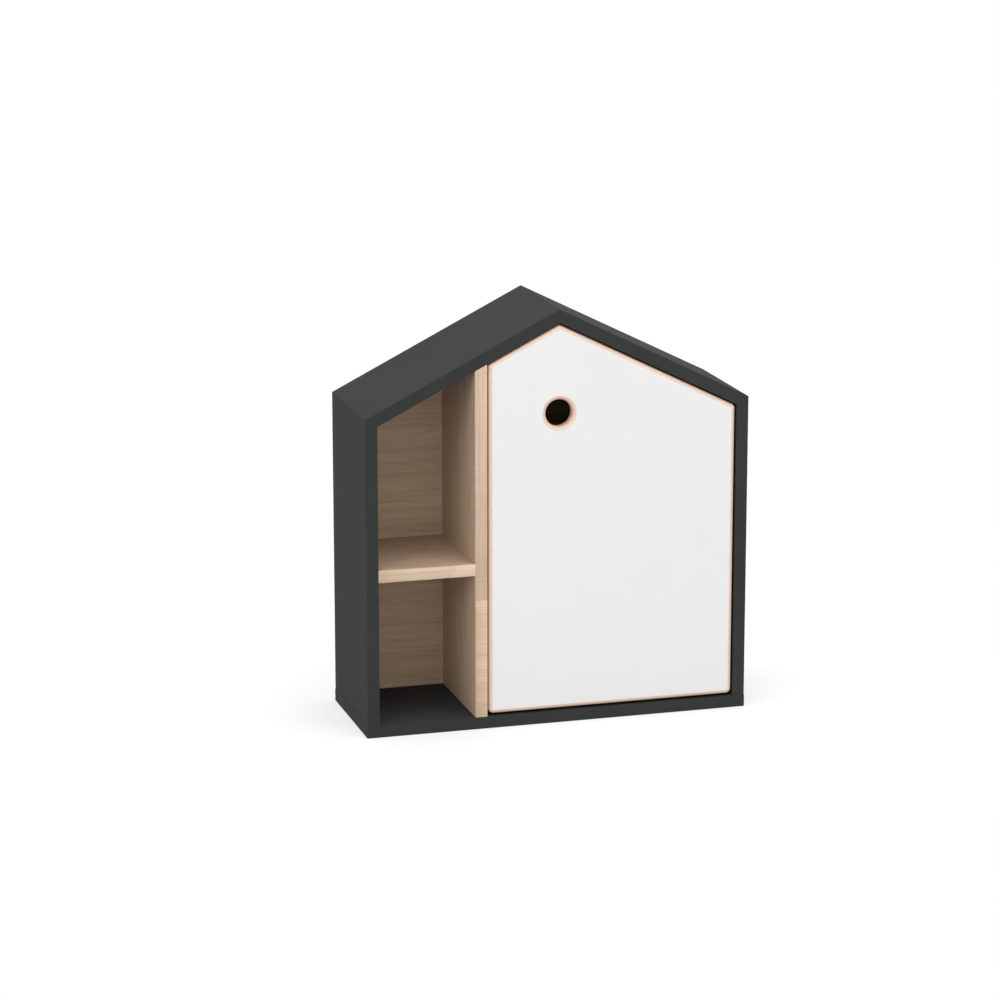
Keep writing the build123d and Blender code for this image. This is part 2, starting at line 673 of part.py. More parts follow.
# Mounting plates: a block under the arm, with two wings for the screws
plate_block_width = INNER_HALF - ARM_RIGHT_FACE
for name, z in HINGE_HEIGHTS.items():
    with BuildPart() as mounting_plate:
        with Locations((ARM_RIGHT_FACE + plate_block_width / 2, PLATE_MIDDLE, z)):
            Box(plate_block_width, PLATE_BLOCK_LENGTH, 2 * PLATE_BLOCK_HALF_HEIGHT)
        with BuildSketch(Plane.YZ.offset(INNER_HALF - PLATE_WING)):
            with Locations((PLATE_MIDDLE, z)):
                SlotOverall(2 * PLATE_WING_HALF_HEIGHT, PLATE_WING_LENGTH, 90)
        extrude(amount=PLATE_WING)
        screw_holes(plate_screw_places, *PLATE_SCREW)
        with Locations(*arm_screw_places):
            Cylinder(
                ARM_SCREW_SHANK + FIXED_FIT,
                ARM_THICKNESS + ARM_SCREW_DEPTH + END_ROOM,
                align=DOWN,
                mode=Mode.SUBTRACT,
            )
    nodes[f"{name}_mounting_plate"] = mounting_plate

nodes["cup_screws"] = screws(cup_screw_places, *CUP_SCREW)
nodes["plate_screws"] = screws(plate_screw_places, *PLATE_SCREW)

# Door stops: wood blocks behind the door's free edge, with a magnet in the front of each
for name, z in STOP_HEIGHTS.items():
    with BuildPart() as door_stop:
        with Locations((DIVIDER_RIGHT + STOP_WIDTH / 2, STOP_FRONT + STOP_DEPTH / 2, z)):
            Box(STOP_WIDTH, STOP_DEPTH, 2 * STOP_HALF_HEIGHT)
        outer_face = door_stop.faces().sort_by(Axis.X)[-1]
        chamfer(outer_face.edges(), STOP_CHAMFER)
        screw_holes(stop_screw_places, *STOP_SCREW)
        with Locations(*magnet_places):
            Hole(MAGNET_RADIUS + FIXED_FIT, depth=MAGNET_LENGTH)
    nodes[f"{name}_door_stop"] = door_stop

with BuildPart() as stop_magnets:
    with Locations(*magnet_places):
        Cylinder(MAGNET_RADIUS, MAGNET_LENGTH, align=DOWN)
nodes["stop_magnets"] = stop_magnets

with BuildPart() as strike_discs:
    with Locations(*disc_places):
        Cylinder(DISC_RADIUS, DISC_THICKNESS, align=DOWN)
    screw_holes(disc_places, *DISC_SCREW)
nodes["strike_discs"] = strike_discs
nodes["strike_screws"] = screws(disc_places, *DISC_SCREW)
nodes["stop_screws"] = screws(stop_screw_places, *STOP_SCREW)

# Keyhole hangers: flush plates in the rear face; the wall screw enters low and drops into the slot
for name, side in (("left", -1), ("right", 1)):
    hanger_x = side * HANGER_X
    with BuildPart() as hanger_plate:
        with BuildSketch(front_view(REAR)):
            with Locations((hanger_x, HANGER_HEIGHT)):
                SlotOverall(HANGER_LENGTH, HANGER_WIDTH, 90)
                SlotCenterToCenter(
                    KEYHOLE_TRAVEL, 2 * KEYHOLE_SLOT_RADIUS, 90, mode=Mode.SUBTRACT
                )
            with Locations((hanger_x, HANGER_HEIGHT - KEYHOLE_TRAVEL / 2)):
                Circle(KEYHOLE_ENTRY_RADIUS, mode=Mode.SUBTRACT)
        extrude(amount=HANGER_PLATE)
        screw_holes(hanger_screw_places[side], *HANGER_SCREW)
    nodes[f"{name}_hanger_plate"] = hanger_plate
nodes["hanger_screws"] = screws(
    hanger_screw_places[-1] + hanger_screw_places[1], *HANGER_SCREW
)

os.makedirs("parts", exist_ok=True)
for name, piece in nodes.items():
    piece.part.label = name
    export_step(piece.part, f"parts/{name}.step")
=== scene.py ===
"""The looks of a house-shaped wall cabinet: graphite carcass, maple niches and a white door.

Metres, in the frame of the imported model: X to the right, Y to the back, Z up, and the front
face on the negative side of Y. The carcass boards are modelled here, and the screws and dowels
are shaped by Geometry Nodes. The edgings and the small fittings are copies of the frame's
solids with softened edges. The back board, divider, shelf, door and strike discs keep their
solids and only get a finish.
"""

import json
import math

import bmesh
import bpy
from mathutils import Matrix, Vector

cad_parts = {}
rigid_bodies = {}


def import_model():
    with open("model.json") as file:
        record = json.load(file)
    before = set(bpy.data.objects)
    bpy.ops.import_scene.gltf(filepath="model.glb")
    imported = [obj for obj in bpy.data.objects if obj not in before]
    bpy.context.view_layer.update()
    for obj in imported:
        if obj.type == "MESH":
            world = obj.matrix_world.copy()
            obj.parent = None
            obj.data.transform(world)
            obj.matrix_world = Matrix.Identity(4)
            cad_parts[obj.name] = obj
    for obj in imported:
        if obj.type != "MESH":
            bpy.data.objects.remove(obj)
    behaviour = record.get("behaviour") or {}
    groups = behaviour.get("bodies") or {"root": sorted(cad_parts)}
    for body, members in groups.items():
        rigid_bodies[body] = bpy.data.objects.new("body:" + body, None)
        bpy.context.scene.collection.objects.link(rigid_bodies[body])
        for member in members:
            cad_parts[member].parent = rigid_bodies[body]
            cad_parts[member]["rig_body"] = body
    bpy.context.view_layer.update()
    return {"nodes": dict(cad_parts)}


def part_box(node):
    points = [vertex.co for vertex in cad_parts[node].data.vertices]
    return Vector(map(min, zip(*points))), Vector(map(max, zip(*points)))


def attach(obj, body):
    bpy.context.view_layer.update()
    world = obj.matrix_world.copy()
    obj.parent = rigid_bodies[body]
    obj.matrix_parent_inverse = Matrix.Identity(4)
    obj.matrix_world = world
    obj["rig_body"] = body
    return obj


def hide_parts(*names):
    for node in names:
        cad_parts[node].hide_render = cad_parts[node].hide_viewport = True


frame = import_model()

MM = 0.001

# Base colours, in linear light
GRAPHITE = (0.0392, 0.0418, 0.0406)
GRAPHITE_LIGHT = (0.0456, 0.0484, 0.0470)
# Painted shade for the pits of the pressed texture, then a painted highlight for its raised specks
GRAPHITE_PIT_SHADE = (0.018, 0.019, 0.019)
GRAPHITE_SPECK_HIGHLIGHT = (0.078, 0.080, 0.080)
MAPLE_PALE = (0.780, 0.610, 0.462)
MAPLE_MID = (0.680, 0.505, 0.365)
MAPLE_DARK = (0.500, 0.335, 0.220)
EDGE_PALE = (0.850, 0.665, 0.545)
# The second edge colour is painted shade for the edge deep behind the front
EDGE_SHADED = (0.700, 0.450, 0.335)
WHITE = (0.872, 0.872, 0.872)
WHITE_CLOUDED = (0.864, 0.864, 0.865)
STEEL = (0.560, 0.555, 0.540)
ZINC = (0.600, 0.605, 0.600)
NICKEL = (0.640, 0.630, 0.610)
BEECH_PALE = (0.640, 0.430, 0.280)
BEECH_DARK = (0.480, 0.300, 0.185)
BEECH_FLECK = (0.300, 0.170, 0.100)

# Tones that the maple is multiplied by. The inside and shelf tones are painted shade that darkens
# the niches' back board, divider and shelf; the curly tone is the lower edging's own warmer colour
PLAIN_TONE = (1, 1, 1)
INSIDE_PAINTED_SHADE = (0.87, 0.85, 0.82)
SHELF_PAINTED_SHADE = (0.72, 0.69, 0.68)
CURLY_TONE = (1.0, 0.965, 0.93)

# What a smudge leaves of a metal's colour
SMUDGE_TONE = 0.88

# Maple: widths of a veneer leaf and of a year ring, and how the cut lies in the log
LEAF_WIDTH = 95.0 * MM
RING_WIDTH = 7.0 * MM
HEART_ACROSS = 0.45
HEART_DEPTH = 18.0 * MM
HEART_SLOPE = 0.07
CUT_TILT = 0.8
SWAY_REACH = 110.0 * MM
SHIVER_REACH = 10.0 * MM
LATE_WOOD_START = 0.45
LATE_WOOD_PEAK = 0.92

# Each board is cut from its own place in the log: its seed times these steps
SEED_STEP = (0.37, 0.53, 0.29)

# How often each feature of the maple comes in a metre, along the grain and across it
SWAY = (2.6, 9.0)
SHIVER = (14.0, 60.0)
FADING = (5.0, 26.0)
FIBRE = (7.0, 460.0)
STREAK = (2.4, 70.0)
CLOUD = (3.0, 12.0)
PORE = (90.0, 1700.0)
CURL = (420.0, 40.0)

# How far each feature takes the maple to its darker colour
CLOUD_SHARE = 0.45
LATE_WOOD_SHARE = 0.36
FIBRE_SHARE = 0.46
PORE_SHARE = 0.28

# Door edge: its veneers, and how deep behind the front the darker, warmer colour of painted shade
# is reached
VENEERS_PER_METRE = 640.0
VENEER_SWAY = 0.4 * MM
EDGE_SHADE_DEPTH = 5.0 * MM

# Worked edges, and the angles and distance that meshes are cleaned by
WOOD_ARRIS = 0.5 * MM
STEEL_ARRIS = 0.3 * MM
SHEET_ARRIS = 0.15 * MM
JOINT_ARRIS = 0.12 * MM
EDGE_BAND = 0.8 * MM
MERGE_DISTANCE = 0.001 * MM
FLAT_ANGLE = math.radians(0.5)
ARRIS_ANGLE = math.radians(30)
SHARP_ANGLE = math.radians(35)

# A quarter turn
QUARTER = math.pi / 2

# Places read from the frame
base_low, base_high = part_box("base_panel")
left_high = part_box("left_side_panel")[1]
right_low, right_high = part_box("right_side_panel")
roof_low, roof_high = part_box("left_roof_panel")
back_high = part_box("back_panel")[1]

FRONT = base_low.y
REAR = base_high.y
OUTER = right_high.x
INNER = right_low.x
BASE_TOP = base_high.z
EAVE = left_high.z
INNER_EAVE = roof_low.z
RIDGE = roof_high.z
INNER_RIDGE = back_high.z
RISE = (RIDGE - EAVE) / OUTER
SLOPE = math.atan(RISE)


# Materials


class Tree:
    """A short way to write a node tree: each call adds a node and returns it or its result."""

    def __init__(self, tree):
        self.tree = tree

    def link(self, source, target):
        self.tree.links.new(source, target)

    def set(self, socket, value):
        if hasattr(value, "is_output"):
            self.link(value, socket)
        else:
            socket.default_value = value

    def add(self, kind, inputs=None, **settings):
        full_kind = kind if "Node" in kind else "ShaderNode" + kind
        node = self.tree.nodes.new(full_kind)
        for key, value in settings.items():
            setattr(node, key, value)
        for key, value in (inputs or {}).items():
            self.set(node.inputs[key], value)
        return node

    def math(self, operation, first, second=0.0, clamp=False):
        node = self.add("Math", operation=operation, use_clamp=clamp)
        self.set(node.inputs[0], first)
        self.set(node.inputs[1], second)
        return node.outputs[0]


class Nodes(Tree):
    """A material's nodes."""

    def __init__(self, name):
        self.material = bpy.data.materials.new(name)
        self.material.use_nodes = True
        super().__init__(self.material.node_tree)
        self.tree.nodes.clear()
        self.output = self.tree.nodes.new("ShaderNodeOutputMaterial")

    def object_coordinates(self, turn=(0, 0, 0), stretch=(1, 1, 1), shift=(0, 0, 0)):
        place = self.add("TexCoord").outputs["Object"]
        mapping = self.add(
            "Mapping",
            {"Vector": place, "Location": shift, "Rotation": turn, "Scale": stretch},
        )
        return mapping.outputs["Vector"]

    def stretched(self, vector, stretch, shift=(0, 0, 0)):
        mapping = self.add(
            "Mapping", {"Vector": vector, "Scale": stretch, "Location": shift}
        )
        return mapping.outputs["Vector"]

    def noise(self, vector, scale, detail=2.0, roughness=0.5, distortion=0.0):
        node = self.add(
            "TexNoise",
            {
                "Vector": vector,
                "Scale": scale,
                "Detail": detail,
                "Roughness": roughness,
                "Distortion": distortion,
            },
        )
        return node.outputs["Fac"]

    def grain_noise(self, grain, often, detail=2.0, roughness=0.5):
        """Noise that follows the grain, by how often it changes along and across it."""
        along, across = often
        place = self.stretched(grain, (along, across, across))
        return self.noise(place, 1.0, detail=detail, roughness=roughness)

    def remap(self, value, low, high, to_low=0.0, to_high=1.0):
        node = self.add(
            "MapRange",
            {
                "Value": value,
                "From Min": low,
                "From Max": high,
                "To Min": to_low,
                "To Max": to_high,
            },
        )
        return node.outputs["Result"]

    def mix(self, factor, first, second, blend="MIX"):
        """Two colours mixed. Sockets 6 and 7 are the node's colour inputs."""
        node = self.add("Mix", data_type="RGBA", blend_type=blend)
        self.set(node.inputs["Factor"], factor)
        self.set(node.inputs[6], first if hasattr(first, "is_output") else (*first, 1))
        self.set(node.inputs[7], second if hasattr(second, "is_output") else (*second, 1))
        return node.outputs[2]

    def bump(self, height, distance, strength):
        node = self.add(
            "Bump", {"Height": height, "Distance": distance, "Strength": strength}
        )
        return node.outputs["Normal"]

    def finish(self, colour, roughness, normal, specular=0.5, metallic=0.0):
        shader = self.add(
            "BsdfPrincipled",
            {
                "Base Color": colour,
                "Roughness": roughness,
                "Normal": normal,
                "Specular IOR Level": specular,
                "Metallic": metallic,
            },
        )
        self.link(shader.outputs["BSDF"], self.output.inputs["Surface"])
        return self.material


def graphite_material():
    """Matt graphite melamine: a fine pressed texture with faint cloudy tone, painted shade in its
    small pits and a painted highlight on its raised specks.
    """
    n = Nodes("graphite_laminate")
    place = n.object_coordinates()
    cloud = n.noise(place, 9.0, detail=3.0, roughness=0.6)
    speck = n.noise(place, 900.0, detail=3.0, roughness=0.7)
    fleck = n.add("TexVoronoi", {"Vector": place, "Scale": 620.0}).outputs["Distance"]
    tone = n.mix(n.remap(cloud, 0.3, 0.7), GRAPHITE, GRAPHITE_LIGHT)
    # Painted shade: darker where the pressed texture dips into its small pits
    pit_shaded = n.mix(n.remap(fleck, 0.0, 0.22, 0.28, 0.0), tone, GRAPHITE_PIT_SHADE)
    # Painted highlight: lighter on the highest specks of the pressed texture
    speck_highlighted = n.mix(n.remap(speck, 0.58, 0.72, 0.0, 0.22), pit_shaded, GRAPHITE_SPECK_HIGHLIGHT)
    height = n.math("ADD", n.math("MULTIPLY", speck, 0.6), n.math("MULTIPLY", fleck, 0.8))
    rough = n.remap(cloud, 0.3, 0.7, 0.72, 0.82)
    return n.finish(speck_highlighted, rough, n.bump(height, 0.12 * MM, 0.35), specular=0.05)


def maple_material(name, turn, seed, figure=1.0, ripple=0.0, tint_and_shade=PLAIN_TONE):
    """Sliced maple in mirrored leaves. Its grain runs along X before the turn."""
    n = Nodes(name)
    grain = n.object_coordinates(turn=turn, shift=tuple(seed * step for step in SEED_STEP))
    axis = n.add("SeparateXYZ", {"Vector": grain}).outputs

    # Year rings, cut at a slant and seen as the distance from the heart of each leaf
    sway = n.grain_noise(grain, SWAY)
    shiver = n.grain_noise(grain, SHIVER)
    drift = n.math(
        "ADD",
        n.math("MULTIPLY", n.math("SUBTRACT", sway, 0.5), SWAY_REACH),
        n.math("MULTIPLY", n.math("SUBTRACT", shiver, 0.5), SHIVER_REACH),
    )
    tilted = n.math("ADD", axis["Z"], n.math("MULTIPLY", axis["Y"], CUT_TILT))
    leaf = n.math("PINGPONG", n.math("ADD", tilted, drift), LEAF_WIDTH)
    from_heart = n.math("SUBTRACT", leaf, LEAF_WIDTH * HEART_ACROSS)
    below = n.math("ADD", n.math("MULTIPLY", axis["X"], HEART_SLOPE), HEART_DEPTH)
    squares = n.math(
        "ADD",
        n.math("MULTIPLY", from_heart, from_heart),
        n.math("MULTIPLY", below, below),
    )
    rings = n.math("FRACT", n.math("MULTIPLY", n.math("SQRT", squares), 1 / RING_WIDTH))
    late = n.math(
        "MULTIPLY",
        n.remap(rings, LATE_WOOD_START, LATE_WOOD_PEAK),
        n.remap(rings, 1.0, LATE_WOOD_PEAK),
    )
    late = n.math("MULTIPLY", late, n.remap(n.grain_noise(grain, FADING), 0.34, 0.62, 0.15, 1.0))

    fibre = n.grain_noise(grain, FIBRE, detail=3.0, roughness=0.6)
    streak = n.grain_noise(grain, STREAK, detail=3.0, roughness=0.6)
    cloud = n.grain_noise(grain, CLOUD)
    pore = n.grain_noise(grain, PORE, detail=1.0)

    colour = n.mix(n.remap(streak, 0.34, 0.66), MAPLE_PALE, MAPLE_MID)
    colour = n.mix(n.remap(cloud, 0.38, 0.70, 0.0, CLOUD_SHARE), colour, MAPLE_MID)
    colour = n.mix(n.math("MULTIPLY", late, LATE_WOOD_SHARE * figure), colour, MAPLE_DARK)
    colour = n.mix(n.remap(fibre, 0.46, 0.66, 0.0, FIBRE_SHARE), colour, MAPLE_DARK)
    colour = n.mix(n.remap(pore, 0.64, 0.74, 0.0, PORE_SHARE), colour, MAPLE_DARK)
    if ripple:
        curl = n.grain_noise(grain, CURL)
        colour = n.mix(n.remap(curl, 0.44, 0.62, 0.0, ripple), colour, MAPLE_DARK)
    # The multiplied tone is painted shade on the inside boards and the shelf, and the wood's own
    # colour on the curly edging
    tinted_and_shaded = n.mix(1.0, colour, tint_and_shade, blend="MULTIPLY")

    relief = n.math("ADD", n.math("MULTIPLY", fibre, 0.7), n.math("MULTIPLY", pore, -0.4))
    rough = n.remap(fibre, 0.3, 0.7, 0.46, 0.60)
    return n.finish(tinted_and_shaded, rough, n.bump(relief, 0.1 * MM, 0.30), specular=0.30)


def door_core_material():
    """The door's routed edge: pale veneers laid up flat, lacquered, with painted shade that makes
    it darker and warmer further behind the front, towards the gaps and into the hole.
    """
    n = Nodes("door_core_edge")
    place = n.object_coordinates()
    depth = n.add("SeparateXYZ", {"Vector": place}).outputs["Y"]
    sway = n.math("MULTIPLY", n.noise(place, 45.0, detail=2.0), VENEER_SWAY)
    layer = n.math("FRACT", n.math("MULTIPLY", n.math("ADD", depth, sway), VENEERS_PER_METRE))
    glue = n.remap(layer, 0.86, 0.94, 0.0, 0.22)
    fibre = n.noise(n.stretched(place, (180.0, 900.0, 180.0)), 1.0, detail=3.0)
    into_door = n.math("SUBTRACT", depth, FRONT)
    edge_shade = n.remap(into_door, 0.0, EDGE_SHADE_DEPTH)
    # Painted shade: the edge darkens and warms further behind the front
    colour = n.mix(edge_shade, EDGE_PALE, EDGE_SHADED)
    colour = n.mix(n.remap(fibre, 0.45, 0.70, 0.0, 0.16), colour, MAPLE_DARK)
    colour = n.mix(glue, colour, MAPLE_DARK)
    rough = n.remap(fibre, 0.3, 0.7, 0.42, 0.55)
    return n.finish(colour, rough, n.bump(fibre, 0.08 * MM, 0.25), specular=0.35)


def laminate_material():
    """White laminate with a very fine orange-peel surface."""
    n = Nodes("white_laminate")
    place = n.object_coordinates()
    peel = n.noise(place, 700.0, detail=2.0)
    cloud = n.noise(place, 14.0, detail=3.0, roughness=0.6)
    colour = n.mix(n.remap(cloud, 0.35, 0.65), WHITE, WHITE_CLOUDED)
    rough = n.remap(cloud, 0.3, 0.7, 0.44, 0.52)
    return n.finish(colour, rough, n.bump(peel, 0.06 * MM, 0.25), specular=0.40)


def steel_material(name, colour, roughness, along):
    """Plated steel with the faint lines of its rolling or drawing along one axis."""
    n = Nodes(name)
    stretch = tuple(40.0 if axis == along else 900.0 for axis in "xyz")
    place = n.object_coordinates()
    lines = n.noise(n.stretched(place, stretch), 1.0, detail=3.0, roughness=0.6)
    smudge = n.noise(place, 55.0, detail=3.0)
    tone = n.mix(n.remap(smudge, 0.3, 0.7), colour, [c * SMUDGE_TONE for c in colour])
    rough = n.math(
        "ADD",
        n.remap(lines, 0.3, 0.7, roughness - 0.05, roughness + 0.05),
        n.remap(smudge, 0.4, 0.7, 0.0, 0.06),
    )
    return n.finish(tone, rough, n.bump(lines, 0.03 * MM, 0.30), metallic=1.0)


def beech_material():
    """Turned beech with its short dark flecks."""
    n = Nodes("beech_dowels")
    place = n.object_coordinates()
    fibre = n.noise(n.stretched(place, (300.0, 300.0, 300.0)), 1.0, detail=4.0)
    fleck = n.noise(n.stretched(place, (500.0, 1600.0, 900.0)), 1.0, detail=1.0)
    colour = n.mix(n.remap(fibre, 0.35, 0.68), BEECH_PALE, BEECH_DARK)
    colour = n.mix(n.remap(fleck, 0.64, 0.72, 0.0, 0.5), colour, BEECH_FLECK)
    return n.finish(colour, 0.6, n.bump(fibre, 0.1 * MM, 0.3))


graphite = graphite_material()
# The back board, divider and shelf are darkened by painted shade through their tones
maple_back = maple_material("maple_back_board", (0, 0, 0), 1.0, figure=1.0, tint_and_shade=INSIDE_PAINTED_SHADE)
maple_upright = maple_material("maple_upright", (0, QUARTER, 0), 2.0, figure=0.55, tint_and_shade=INSIDE_PAINTED_SHADE)
maple_shelf = maple_material("maple_shelf", (QUARTER, 0, 0), 3.0, figure=0.7, tint_and_shade=SHELF_PAINTED_SHADE)
maple_edging = maple_material("maple_edging", (0, QUARTER, 0), 4.0, figure=0.5, ripple=0.16)
maple_shelf_edging = maple_material("maple_shelf_edging", (0, 0, 0), 7.0, figure=0.9)
maple_curly = maple_material(
    "maple_curly_edging", (0, 0, 0), 5.0, figure=0.8, tint_and_shade=CURLY_TONE
)
maple_stop = maple_material("maple_stop_blocks", (0, QUARTER, 0), 6.0, figure=0.6)
door_core = door_core_material()
white_laminate = laminate_material()
hinge_steel = steel_material("nickel_plated_steel", STEEL, 0.28, "y")
pin_steel = steel_material("ground_steel_pins", STEEL, 0.18, "z")
zinc_steel = steel_material("zinc_plated_screws", ZINC, 0.34, "x")
magnet_nickel = steel_material("nickel_magnets", NICKEL, 0.16, "x")
beech = beech_material()


# Meshes


def new_piece(name, mesh, material):
    """An object at the origin with one material, in the scene."""
    piece = bpy.data.objects.new(name, mesh)
    bpy.context.scene.collection.objects.link(piece)
    mesh.materials.clear()
    mesh.materials.append(material)
    return piece


def settle(piece, body, slot, *nodes):
    """The piece rides on its body and stands for its nodes, which are hidden. The slot is not used.
    """
    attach(piece, body)
    if nodes:
        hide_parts(*nodes)
    return piece


def applied(piece):
    """The piece with its modifiers made part of its mesh."""
    ready = bpy.data.meshes.new_from_object(
        piece.evaluated_get(bpy.context.evaluated_depsgraph_get())
    )
    piece.modifiers.clear()
    piece.data = ready
    return piece


def soften(piece, width, segments=2):
    """Rounds the sharp edges of a piece by a small radius."""
    bevel = piece.modifiers.new("arris", "BEVEL")
    bevel.width = width
    bevel.segments = segments
    bevel.limit_method = "ANGLE"
    bevel.angle_limit = ARRIS_ANGLE
    bevel.harden_normals = True
    for polygon in piece.data.polygons:
        polygon.use_smooth = True
    return applied(piece)


def prism(name, outline, front, back, material):
    """A board whose front view is the outline of (x, z) points, between two depths."""
    bm = bmesh.new()
    near = [bm.verts.new((x, front, z)) for x, z in outline]
    far = [bm.verts.new((x, back, z)) for x, z in outline]
    bm.faces.new(near)
    bm.faces.new(list(reversed(far)))
    for i in range(len(outline)):
        j = (i + 1) % len(outline)
        bm.faces.new((near[j], near[i], far[i], far[j]))
    bmesh.ops.recalc_face_normals(bm, faces=bm.faces)
    mesh = bpy.data.meshes.new(name)
    bm.to_mesh(mesh)
    bm.free()
    return new_piece(name, mesh, material)


def merged(node):
    """A node's triangles as one skin."""
    bm = bmesh.new()
    bm.from_mesh(frame["nodes"][node].data)
    bmesh.ops.remove_doubles(bm, verts=bm.verts, dist=MERGE_DISTANCE)
    return bm


def softened_copy(node, material, slot, width, segments=2):
    """A copy of a node with its flat faces whole again and its sharp edges rounded."""
    bm = merged(node)
    bmesh.ops.dissolve_limit(bm, angle_limit=FLAT_ANGLE, verts=bm.verts, edges=bm.edges)
    mesh = bpy.data.meshes.new(f"{node}_softened")
    bm.to_mesh(mesh)
    bm.free()
    piece = new_piece(f"{node}_softened", mesh, material)
    soften(piece, width, segments)
    return settle(piece, frame["nodes"][node]["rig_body"], slot, node)


def solid_boxes(node):
    """The lowest and highest corner of each separate solid of a node."""
    bm = merged(node)
    waiting = dict.fromkeys(bm.verts)
    boxes = []
    while waiting:
        reached = [next(iter(waiting))]
        del waiting[reached[0]]
        for vert in reached:
            for edge in vert.link_edges:
                other = edge.other_vert(vert)
                if other in waiting:
                    del waiting[other]
                    reached.append(other)
        corners = list(zip(*(vert.co for vert in reached)))
        boxes.append((Vector(map(min, corners)), Vector(map(max, corners))))
    bm.free()
    return boxes


# Carcass: five graphite boards, each with a thin edge band on its front edge


def carcass_board(node, outline):
    band_back = FRONT + EDGE_BAND
    board = prism(f"{node}_board", outline, band_back, REAR, graphite)
    soften(board, JOINT_ARRIS, segments=1)
    settle(board, "cabinet", "graphite_board", node)
    band = prism(f"{node}_edge_band", outline, FRONT, band_back, graphite)
    soften(band, JOINT_ARRIS, segments=1)
    settle(band, "cabinet", "graphite_board")


carcass_board(
    "base_panel",
    [(base_low.x, 0), (base_high.x, 0), (base_high.x, BASE_TOP), (base_low.x, BASE_TOP)],
)
for name, side in (("left", -1), ("right", 1)):
    carcass_board(
        f"{name}_side_panel",
        [
            (side * INNER, BASE_TOP),
            (side * OUTER, BASE_TOP),
            (side * OUTER, EAVE),
            (side * INNER, INNER_EAVE),
        ],
    )
    carcass_board(
        f"{name}_roof_panel",
        [(side * OUTER, EAVE), (0, RIDGE), (0, INNER_RIDGE), (side * INNER, INNER_EAVE)],
    )

# Boards, skins and discs that keep their solids
plain_finishes = {
    "back_panel": maple_back,
    "divider_panel": maple_upright,
    "shelf_panel": maple_shelf,
    "door_board": door_core,
    "door_front_laminate": white_laminate,
    "door_back_laminate": white_laminate,
    "strike_discs": zinc_steel,
}
for node, material in plain_finishes.items():
    data = frame["nodes"][node].data
    data.materials.clear()
    data.materials.append(material)

# Pieces with small rounded edges
softened_copy("divider_upper_edging", maple_edging, "maple_board", JOINT_ARRIS, segments=1)
softened_copy("divider_lower_edging", maple_curly, "maple_board", JOINT_ARRIS, segments=1)
softened_copy("shelf_edging", maple_shelf_edging, "maple_board", JOINT_ARRIS, segments=1)
HINGE_ARRISES = {
    "mounting_plate": STEEL_ARRIS,
    "hinge_arm": STEEL_ARRIS,
    "hinge_link": SHEET_ARRIS,
    "hinge_cup": SHEET_ARRIS,
}
for level in ("lower", "upper"):
    softened_copy(f"{level}_door_stop", maple_stop, "maple_board", WOOD_ARRIS)
    for part, arris in HINGE_ARRISES.items():
        softened_copy(f"{level}_{part}", hinge_steel, "hinge_steel", arris)
for name in ("left", "right"):
    softened_copy(f"{name}_hanger_plate", zinc_steel, "hinge_steel", SHEET_ARRIS)
softened_copy("arm_pins", pin_steel, "hinge_steel", SHEET_ARRIS)
softened_copy("cup_pins", pin_steel, "hinge_steel", SHEET_ARRIS)
softened_copy("stop_magnets", magnet_nickel, "magnet", STEEL_ARRIS)


# Screws and dowels, shaped by Geometry Nodes and set at the middles of the frame's solids


class Shape(Tree):
    """A Geometry Nodes tree that shapes one blank cylinder and sets it at every point."""

    SOCKETS = {float: "NodeSocketFloat", int: "NodeSocketInt"}

    def __init__(self, name, sizes):
        super().__init__(bpy.data.node_groups.new(name, "GeometryNodeTree"))
        self.tree.is_modifier = True
        sockets = self.tree.interface
        sockets.new_socket("Geometry", in_out="OUTPUT", socket_type="NodeSocketGeometry")
        sockets.new_socket("Geometry", in_out="INPUT", socket_type="NodeSocketGeometry")
        for label, kind in sizes.items():
            sockets.new_socket(label, in_out="INPUT", socket_type=self.SOCKETS[kind])
        sockets.new_socket("Finish", in_out="INPUT", socket_type="NodeSocketMaterial")
        self.given = self.tree.nodes.new("NodeGroupInput").outputs
        self.result = self.tree.nodes.new("NodeGroupOutput").inputs

    def blank(self, sides, rows):
        """A cylinder one unit long, with how far each point is down it and round it."""
        cylinder = self.add(
            "GeometryNodeMeshCylinder",
            {"Vertices": sides, "Side Segments": rows, "Radius": 1.0, "Depth": 1.0},
            fill_type="NGON",
        )
        place = self.add("GeometryNodeInputPosition").outputs[0]
        part = self.add("SeparateXYZ", {"Vector": place}).outputs
        down = self.math("SUBTRACT", 0.5, part["Z"])
        angle = self.math("ARCTAN2", part["Y"], part["X"])
        return cylinder.outputs["Mesh"], down, angle

    def turned(self, blank, radius, angle, height):
        """The blank with each of its points moved to a radius and a height."""
        place = self.add(
            "CombineXYZ",
            {
                "X": self.math("MULTIPLY", radius, self.math("COSINE", angle)),
                "Y": self.math("MULTIPLY", radius, self.math("SINE", angle)),
                "Z": height,
            },
        )
        moved = self.add(
            "GeometryNodeSetPosition", {"Geometry": blank, "Position": place.outputs[0]}
        )
        return moved.outputs["Geometry"]

    def set_at_points(self, shape):
        """Copies of the shape at the points, each along its facing, as one mesh."""
        facing = self.add(
            "GeometryNodeInputNamedAttribute", {"Name": "facing"}, data_type="FLOAT_VECTOR"
        )
        along = self.add(
            "FunctionNodeAlignRotationToVector", {"Vector": facing.outputs["Attribute"]}
        )
        copies = self.add(
            "GeometryNodeInstanceOnPoints",
            {
                "Points": self.given["Geometry"],
                "Instance": shape,
                "Rotation": along.outputs["Rotation"],
            },
        )
        whole = self.add("GeometryNodeRealizeInstances", {"Geometry": copies.outputs[0]})
        finished = self.add(
            "GeometryNodeSetMaterial",
            {"Geometry": whole.outputs[0], "Material": self.given["Finish"]},
        )
        self.link(finished.outputs[0], self.result["Geometry"])
        return self.tree


SCREW_SIDES = 20
